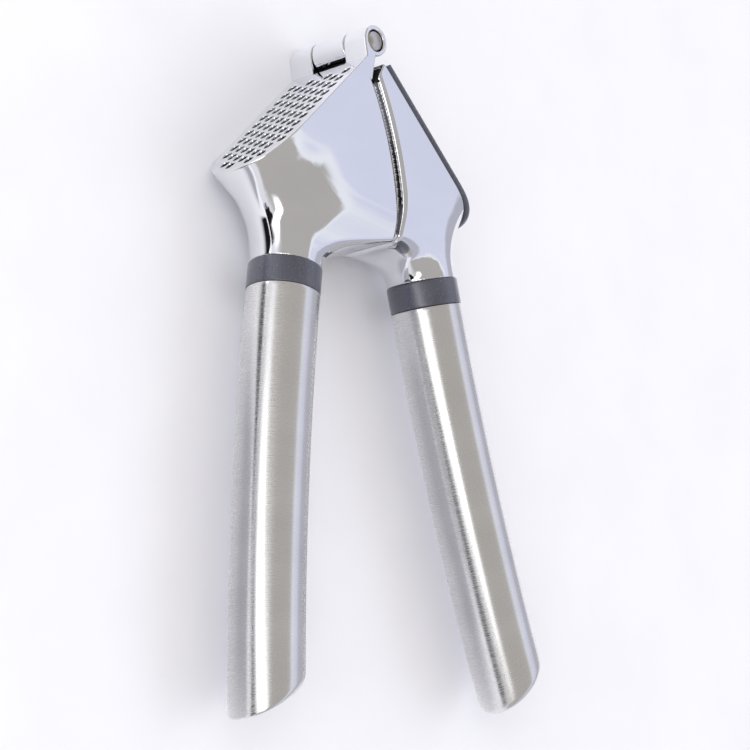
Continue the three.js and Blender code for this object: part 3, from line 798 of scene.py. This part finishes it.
def chrome_material():
    """Bright plating, with the faint waviness of a polished casting and a few smears."""
    n = MaterialNodes("chrome")
    place = n.place()
    smears = n.noise(place, 55, 4, (1, 0.35, 1))
    waves = n.noise(place, 70, 2)
    return n.shade(
        Base_Color=n.ramp(smears, (0.35, (0.84, 0.85, 0.885)), (0.65, (0.90, 0.905, 0.925))),
        Metallic=1.0, Roughness=n.ranged(smears, 0.035, 0.075),
        Normal=n.bump(waves, 0.00002, 0.6))


def groove_shade_material():
    """Plating in the joint between the two arms, painted dark grey as the shade and dark reflections of
    the recess, and painted near black as deeper shade in its lower half.
    """
    n = MaterialNodes("groove")
    place = n.place()
    grain = n.noise(place, 500, 3)
    groove_blotches = n.noise(place, 90, 3)
    # dark grey: painted shade and dark reflections of the recess walls
    plating = n.ramp(groove_blotches, (0.35, (0.12, 0.12, 0.13)), (0.7, (0.22, 0.22, 0.24)))
    along = n.add("ShaderNodeSeparateXYZ", {0: place})[0]
    along = n.math("ADD", along, n.math("MULTIPLY", groove_blotches, 0.012))
    upper = n.ranged(along, 0, 1, -0.052, -0.060)
    lower = n.ranged(along, 0, 1, -0.038, -0.033)
    # near black: painted shade over the groove's lower half
    colour = n.mix(n.math("MAXIMUM", upper, lower), (0.022, 0.018, 0.016, 1), plating)
    return n.shade(Base_Color=colour, Metallic=1.0, Roughness=n.ranged(grain, 0.28, 0.42),
                   Normal=n.bump(grain, 0.00002))


def throat_shade_material():
    """The faces close to the hinge, painted dull and near black as the shade deep in the hinge throat.
    """
    n = MaterialNodes("throat")
    scale = n.noise(n.place(), 400, 3)
    # near-black colour: painted shade of the hinge throat
    return n.shade(Base_Color=n.ramp(scale, (0.3, (0.010, 0.010, 0.011)), (0.7, (0.024, 0.023, 0.025))),
                   Roughness=n.ranged(scale, 0.5, 0.7), Specular_IOR_Level=0.2)


def bare_steel_material():
    n = MaterialNodes("bare_steel")
    turning = n.noise(n.place(), 400, 3, (1, 1, 0.2))
    return n.shade(
        Base_Color=n.ramp(turning, (0.3, (0.50, 0.48, 0.45)), (0.7, (0.62, 0.60, 0.57))),
        Metallic=1.0, Roughness=n.ranged(turning, 0.14, 0.26), Normal=n.bump(turning, 0.00001))


def brushed_steel_material():
    """Satin stainless steel with its grain running round the handle."""
    n = MaterialNodes("brushed_steel")
    uv = n.add("ShaderNodeUVMap", uv_map="grain")[0]
    grain = n.noise(uv, 1, 4, (5200, 130, 1))
    bands = n.noise(uv, 1, 3, (90, 25, 1))
    tangent = n.add("ShaderNodeTangent", direction_type="UV_MAP", uv_map="grain")[0]
    return n.shade(
        Base_Color=n.ramp(bands, (0.35, (0.81, 0.805, 0.80)), (0.65, (0.865, 0.86, 0.86))),
        Metallic=1.0, Roughness=n.ranged(grain, 0.22, 0.33), Anisotropic=0.75, Tangent=tangent,
        Normal=n.bump(grain, 0.0000025))


def grey_plastic_material():
    """Slate-grey moulded plastic with a fine satin speckle."""
    n = MaterialNodes("grey_plastic")
    place = n.place()
    speckle = n.noise(place, 2600, 2)
    cloud = n.noise(place, 130, 3)
    tint = n.ramp(cloud, (0.3, (0.036, 0.040, 0.062)), (0.7, (0.050, 0.054, 0.082)))
    colour = n.mix(n.ranged(speckle, 0, 0.55, 0.6, 0.75), tint, (0.25, 0.26, 0.33, 1))
    return n.shade(Base_Color=colour, Roughness=n.ranged(speckle, 0.27, 0.40), Specular_IOR_Level=0.85,
                   Coat_Weight=0.8, Coat_Roughness=0.3, Normal=n.bump(speckle, 0.00003, 0.5))


def core_plastic_material():
    n = MaterialNodes("core_plastic")
    cloud = n.noise(n.place(), 300, 3)
    return n.shade(Base_Color=n.ramp(cloud, (0.3, (0.03, 0.03, 0.033)), (0.7, (0.05, 0.05, 0.055))),
                   Roughness=n.ranged(cloud, 0.55, 0.75))


# ---- Light and floor ----------------------------------------------------------------------------

PALE = (0.80, 0.80, 0.84)
BEIGE = (0.46, 0.44, 0.42)
GLOW = (0.86, 0.88, 0.93)
LAVENDER = (0.71, 0.73, 0.87)
SHADED = (0.48, 0.48, 0.55)
DOORWAY = (0.012, 0.009, 0.008, 1)
ROOM = [(0, PALE), (18, PALE), (34, BEIGE), (120, BEIGE), (124, GLOW), (127, GLOW),
        (134, LAVENDER), (145, LAVENDER), (153, SHADED), (180, SHADED)]      # from degrees upwards


def add_world():
    """A beige room with a pale side and a dark doorway, told apart by direction."""
    world = bpy.data.worlds.new("studio")
    bpy.context.scene.world = world
    world.use_nodes = True
    w = Nodes(world.node_tree)
    where = w.add("ShaderNodeTexCoord")["Generated"]
    x, y, z = w.add("ShaderNodeSeparateXYZ", {0: where})[:3]
    ragged = w.add("ShaderNodeTexNoise", {"Vector": where, "Scale": 7.0, "Detail": 4.0})["Fac"]
    ragged = w.math("MULTIPLY", w.math("SUBTRACT", ragged, 0.5), 0.3)
    rise = w.math("ARCTAN2", z, w.math("MULTIPLY", y, -1.0))
    share = w.math("DIVIDE", w.math("ADD", rise, ragged), math.pi)
    room = w.ramp(share, *((degrees / 180, colour) for degrees, colour in ROOM))
    level = w.math("ABSOLUTE", w.math("SUBTRACT", x, 0.08))
    level = w.math("DIVIDE", w.math("ADD", level, ragged), 0.48)
    height = w.math("DIVIDE", w.math("ADD", w.math("ABSOLUTE", rise), ragged), 0.38)
    reach = w.math("ADD", w.math("POWER", level, 2.0), w.math("POWER", height, 2.0))
    doorway = w.add("ShaderNodeMapRange", {"Value": reach, "From Min": 1.15, "From Max": 0.85})[0]
    w.put(w.tree.nodes["Background"].inputs["Color"], w.mix(doorway, room, DOORWAY))


def soft_edge(n, value, softness):
    """1 in the middle of a card, falling to 0 at its two edges."""
    from_middle = n.math("ABSOLUTE", n.math("SUBTRACT", value, 0.5))
    inputs = {"Value": from_middle, "From Min": 0.5 - softness, "From Max": 0.5,
              "To Min": 1.0, "To Max": 0.0}
    return n.add("ShaderNodeMapRange", inputs, interpolation_type="SMOOTHSTEP")[0]


def add_card(name, stations, colour, strength, softness, speckled=False):
    """A soft-edged card that only shows in reflections, spanned between pairs of points."""
    mesh = bpy.data.meshes.new(name)
    points = [tuple(c / 1000 for c in point) for pair in stations for point in pair]
    faces = [(2 * i, 2 * i + 1, 2 * i + 3, 2 * i + 2) for i in range(len(stations) - 1)]
    mesh.from_pydata(points, [], faces)
    layer = mesh.uv_layers.new(name="card")
    for loop, uv in zip(mesh.loops, layer.data):
        uv.uv = (loop.vertex_index // 2 / (len(stations) - 1), loop.vertex_index % 2)
    card = bpy.data.objects.new(name, mesh)
    bpy.context.scene.collection.objects.link(card)
    n = MaterialNodes(name)
    uv = n.add("ShaderNodeUVMap", uv_map="card")[0]
    u, v = n.add("ShaderNodeSeparateXYZ", {0: uv})[:2]
    cover = n.math("MULTIPLY", soft_edge(n, u, softness), soft_edge(n, v, softness))
    if speckled:
        cover = n.math("MULTIPLY", cover, n.ranged(n.noise(n.place(), 160, 3), 0, 1, 0.4, 0.6))
    mesh.materials.append(n.shade(
        Base_Color=(0, 0, 0, 1), Roughness=1.0, Specular_IOR_Level=0.0, Alpha=cover,
        Emission_Color=(*colour, 1), Emission_Strength=strength))
    card.visible_camera = card.visible_diffuse = card.visible_shadow = False


SOFTBOX_DISTANCE = 330
SOFTBOX = [(-260, 20, 175), (-110, 30, 215), (-20, 35, 250), (20, 80, 305),
           (60, 140, 395), (100, 200, 450), (200, 220, 465), (350, 230, 475)]   # x, bottom, top
WHITE = (1.0, 1.0, 1.02)
BLACK = (0.01, 0.008, 0.008)
SHADE = (0.42, 0.42, 0.46)
REFLECTOR_HEIGHT = 0.6             # the low cards lie just above the floor
FLAG_HEIGHT = 0.7
SHADE_HEIGHT = 0.8


def lying(height, pairs):
    """Pairs of plan points, all at one height."""
    return [tuple((x, y, height) for x, y in pair) for pair in pairs]


def add_cards():
    """What the chrome reflects besides the room: one upright softbox and four low cards."""
    softbox = [((x, -SOFTBOX_DISTANCE, low), (x, -SOFTBOX_DISTANCE, high)) for x, low, high in SOFTBOX]
    add_card("softbox", softbox, WHITE, 4.2, 0.42)
    reflector = [((-105, -50), (-60, -55)), ((-160, -115), (-75, -115)), ((-240, -230), (-120, -230))]
    add_card("reflector", lying(REFLECTOR_HEIGHT, reflector), WHITE, 3.6, 0.3, speckled=True)
    flag = [((-82, -48), (-30, -56)), ((-120, -190), (10, -190)), ((-160, -340), (60, -340))]
    add_card("flag", lying(FLAG_HEIGHT, flag), BLACK, 1.0, 0.12)
    left = [((-30, -30), (-20, -100)), ((30, -40), (40, -130)), ((110, -50), (120, -140))]
    add_card("left_shade", lying(SHADE_HEIGHT, left), SHADE, 1.0, 0.3)
    right = [((-35, 20), (-15, -30)), ((40, 40), (40, -35)), ((125, 58), (115, -40))]
    add_card("right_shade", lying(SHADE_HEIGHT, right), SHADE, 1.0, 0.3)


LIGHT_TARGET = Vector((0, 0, 0.01))


def add_area_light(name, place, size, power):
    data = bpy.data.lights.new(name, "AREA")
    data.shape, data.size, data.energy = "DISK", size, power
    light = bpy.data.objects.new(name, data)
    bpy.context.scene.collection.objects.link(light)
    light.location = place
    light.rotation_euler = (LIGHT_TARGET - Vector(place)).to_track_quat("-Z", "Y").to_euler()
    light.visible_glossy = False


FLOOR_HALF = 3.0


def paper_material():
    n = MaterialNodes("paper")
    cloud = n.noise(n.place(), 30, 5)
    return n.shade(Base_Color=n.ramp(cloud, (0.3, (0.84, 0.84, 0.885)), (0.7, (0.87, 0.87, 0.915))),
                   Roughness=0.9, Specular_IOR_Level=0.1)


def add_floor():
    mesh = bpy.data.meshes.new("floor")
    corners = [(x * FLOOR_HALF, y * FLOOR_HALF, 0) for x, y in ((-1, -1), (1, -1), (1, 1), (-1, 1))]
    mesh.from_pydata(corners, [], [(0, 1, 2, 3)])
    floor = bpy.data.objects.new("floor", mesh)
    bpy.context.scene.collection.objects.link(floor)
    mesh.materials.append(paper_material())


add_camera()
add_world()
add_floor()
add_cards()
add_area_light("key", (0.0, 0.0, 1.5), 5.2, 27)
add_area_light("left_fill", (-0.1, -1.3, 0.5), 2.4, 18)
add_area_light("right_fill", (0.0, 1.3, 0.5), 2.4, 10)
bpy.context.scene.view_settings.view_transform = "Standard"

# chrome, then painted shade for the joint groove and painted shade for the hinge throat
CHROME_AND_SHADE = [chrome_material(), groove_shade_material(), throat_shade_material()]
STEEL = [bare_steel_material()]
BRUSHED = [brushed_steel_material()]
PLASTIC = [grey_plastic_material()]

GRID_STEP = 0.4
FINE_STEP = 0.35
BEVEL_WIDTH = 0.0002
BEVEL_ANGLE = math.radians(40)


def build_castings():
    grid = Grid((-7, -6, -15.6), (74, 54, 15.6), FINE_STEP)
    field = cut(basket_field(grid), pin_hole(grid), 0.3)
    casting("basket_casting", field, grid, "basket_side", CHROME_AND_SHADE, ["basket_arm"], painted_shade_index)
    grid = Grid((-7, -6, -15.6), (40, 82, 15.6), GRID_STEP)
    field = cut(press_arm_field(grid), pin_hole(grid), 0.3)
    casting("press_casting", field, grid, "press_side", CHROME_AND_SHADE, ["press_arm"], painted_shade_index)
    grid = Grid((4, 2, -13), (56, 46, 13), GRID_STEP)
    casting("plunger_casting", plunger_field(grid), grid, "press_side", CHROME_AND_SHADE, ["plunger"])
    grid = Grid((-5.6, 6, -15.5), (6.6, 62.5, 15.5), FINE_STEP)
    field = cleaner_field(grid)
    casting("cleaner", field, grid, "press_side", PLASTIC, ["cleaner_plate"])


def build_handle(prefix, handle):
    tang(prefix, handle, CHROME_AND_SHADE[:1])
    collar(prefix, handle, PLASTIC)
    handle_tube(prefix, handle, BRUSHED)
    tail_cap(prefix, handle, BRUSHED)


def finish_hidden_parts():
    """The plain parts inside, as the CAD model has them, with softened edges."""
    finishes = {"core": core_plastic_material(), "washer": STEEL[0], "screw": STEEL[0]}
    for name, node in frame["nodes"].items():
        for word, material in finishes.items():
            if word in name:
                node.data.materials.clear()
                node.data.materials.append(material)
                bevel = node.modifiers.new("edges", "BEVEL")
                bevel.width, bevel.segments, bevel.angle_limit = BEVEL_WIDTH, 2, BEVEL_ANGLE


build_castings()
hinge_pin(STEEL)
build_handle("basket", BASKET_HANDLE)
build_handle("press", PRESS_HANDLE)
finish_hidden_parts()
